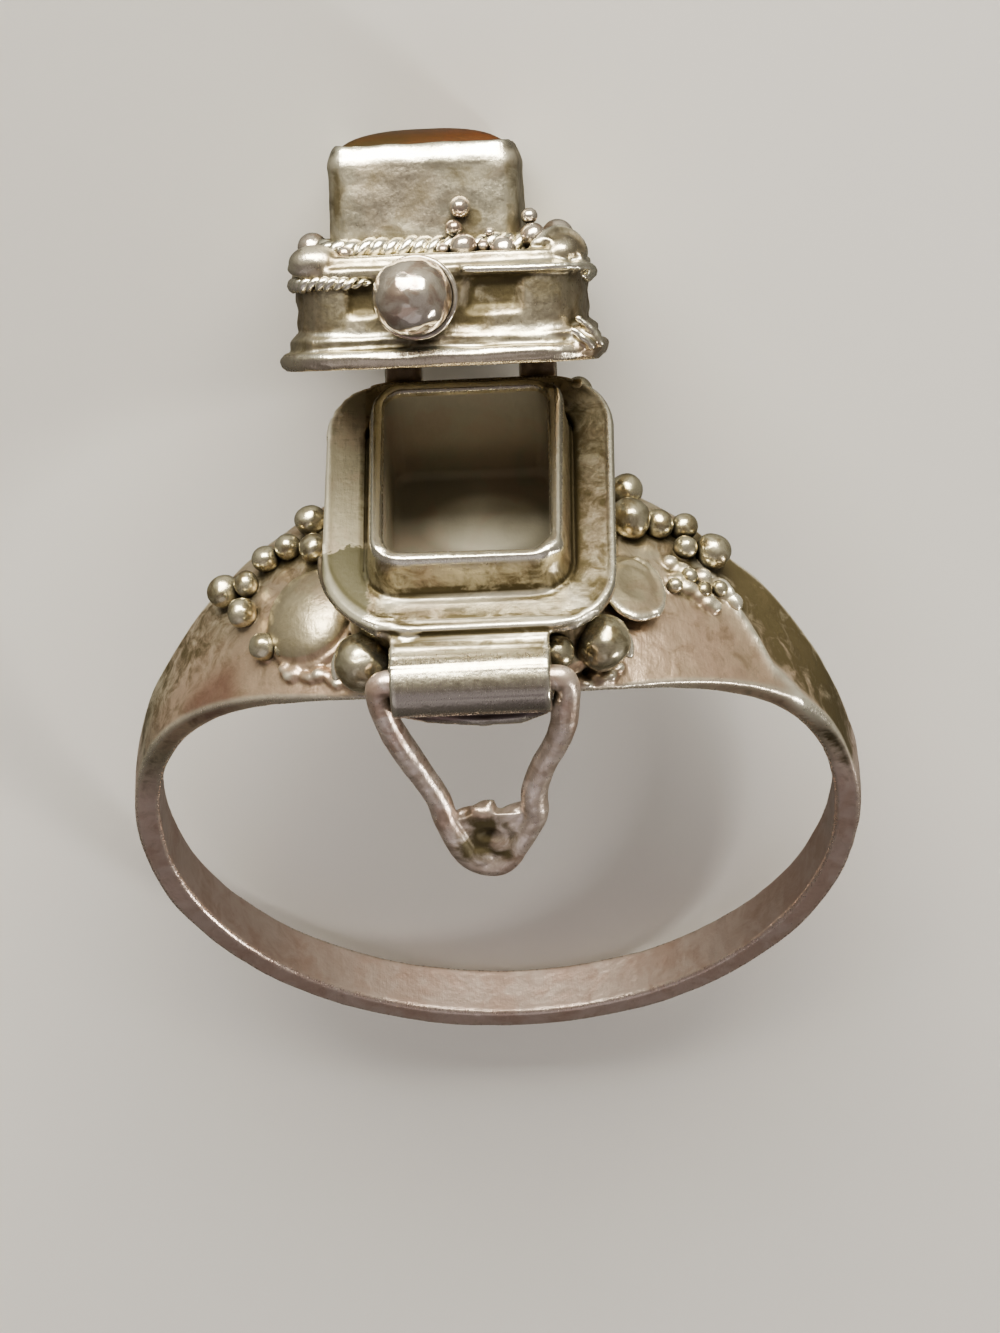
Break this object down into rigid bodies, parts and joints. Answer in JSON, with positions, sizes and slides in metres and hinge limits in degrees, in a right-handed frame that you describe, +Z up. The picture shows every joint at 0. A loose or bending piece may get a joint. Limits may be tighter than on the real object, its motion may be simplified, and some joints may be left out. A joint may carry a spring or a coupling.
{
  "type": "poison ring",
  "caption": "Worn silver finger ring whose head is a small box with a hinged, stone-topped lid standing open and a wire latch loop hanging in front, lying on its side.",
  "frame": {"origin": "centre of the overall box, on the table the ring lies on", "axes": "+Z up from the table; +Y from the shank's bottom towards the head and its open lid; +X to the right, parallel to the hinge pin; the finger hole's axis leans 14.3 degrees from +Z towards -Y"},
  "size_m": [0.02, 0.0314, 0.0118],
  "materials": {
    "ring_silver": "worn silver with olive and brown tarnish in the recesses and a pinkish copper tint on the shoulders",
    "lid_silver": "worn silver, dark between the wires and granules, bright along the edges",
    "stone": "polished orange-brown cabochon",
    "pin_silver": "worn silver",
    "loop_silver": "worn silver wire with a pinkish tint"
  },
  "bodies": {
    "ring": {"ring_body": "ring_silver", "hinge_pin": "pin_silver"},
    "lid": {"lid": "lid_silver", "stone": "stone"},
    "latch": {"latch_loop": "loop_silver"}
  },
  "joints": [
    {"name": "lid_hinge", "type": "hinge", "parent": "ring", "child": "lid", "pos_m": [0, 0.00639, 0.0017], "axis": [1, 0, 0], "range_deg": [0, 45.5]},
    {"name": "latch_swing", "type": "hinge", "parent": "ring", "child": "latch", "pos_m": [0, 0.00383, 0.01091], "axis": [-1, 0, 0], "range_deg": [-15, 177]}
  ]
}
